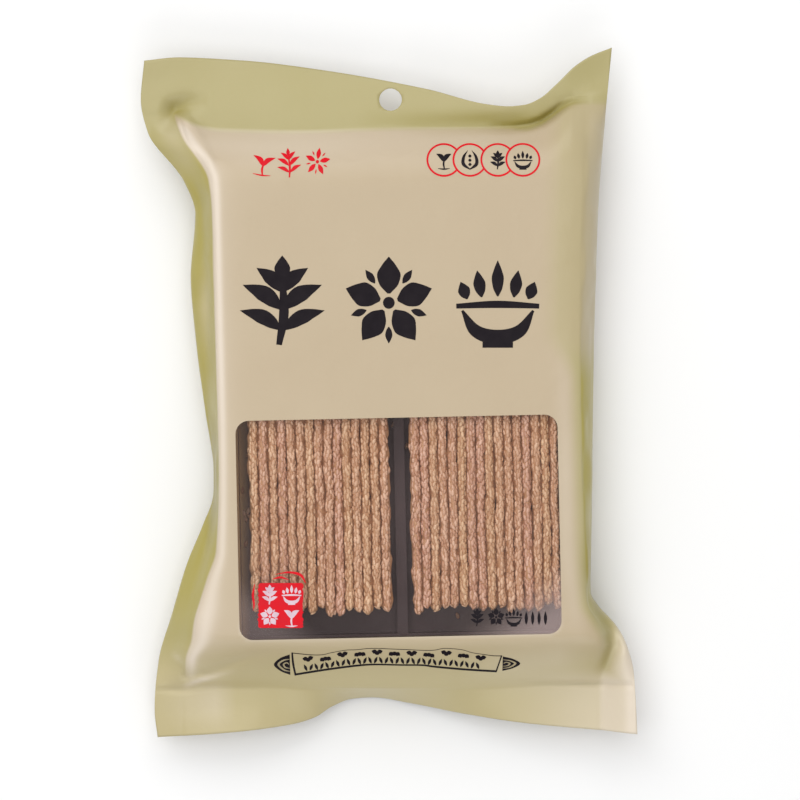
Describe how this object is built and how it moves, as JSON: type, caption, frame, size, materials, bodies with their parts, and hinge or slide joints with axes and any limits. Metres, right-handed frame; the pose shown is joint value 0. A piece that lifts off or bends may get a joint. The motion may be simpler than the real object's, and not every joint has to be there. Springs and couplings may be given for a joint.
{
  "type": "windowed pillow bag of sesame brittle slices",
  "caption": "Sealed pillow bag with a hang hole and a clear window that shows thin sesame brittle slices standing in stacks on a dark tray; it lies on its back.",
  "frame": {"origin": "middle of the footprint, on the surface that the bag's back lies on", "axes": "+Z out of the window side, +Y along the bag towards the header, +X across it to the right"},
  "size_m": [0.1884, 0.2624, 0.035],
  "materials": {
    "printed_film": "satin",
    "clear_film": "clear",
    "tray": "dark, smooth",
    "brittle": "grainy, glazed"
  },
  "bodies": {
    "root": {"bag": "printed_film", "window": "clear_film", "tray": "tray", "slice_left_01": "brittle", "slice_left_02": "brittle", "slice_left_03": "brittle", "slice_left_04": "brittle", "slice_left_05": "brittle", "slice_left_06": "brittle", "slice_left_07": "brittle", "slice_left_08": "brittle", "slice_left_09": "brittle", "slice_left_10": "brittle", "slice_left_11": "brittle", "slice_left_12": "brittle", "slice_left_13": "brittle", "slice_left_14": "brittle", "slice_left_15": "brittle", "slice_right_01": "brittle", "slice_right_02": "brittle", "slice_right_03": "brittle", "slice_right_04": "brittle", "slice_right_05": "brittle", "slice_right_06": "brittle", "slice_right_07": "brittle", "slice_right_08": "brittle", "slice_right_09": "brittle", "slice_right_10": "brittle", "slice_right_11": "brittle", "slice_right_12": "brittle", "slice_right_13": "brittle", "slice_right_14": "brittle", "slice_right_15": "brittle", "slice_right_16": "brittle"}
  },
  "joints": []
}
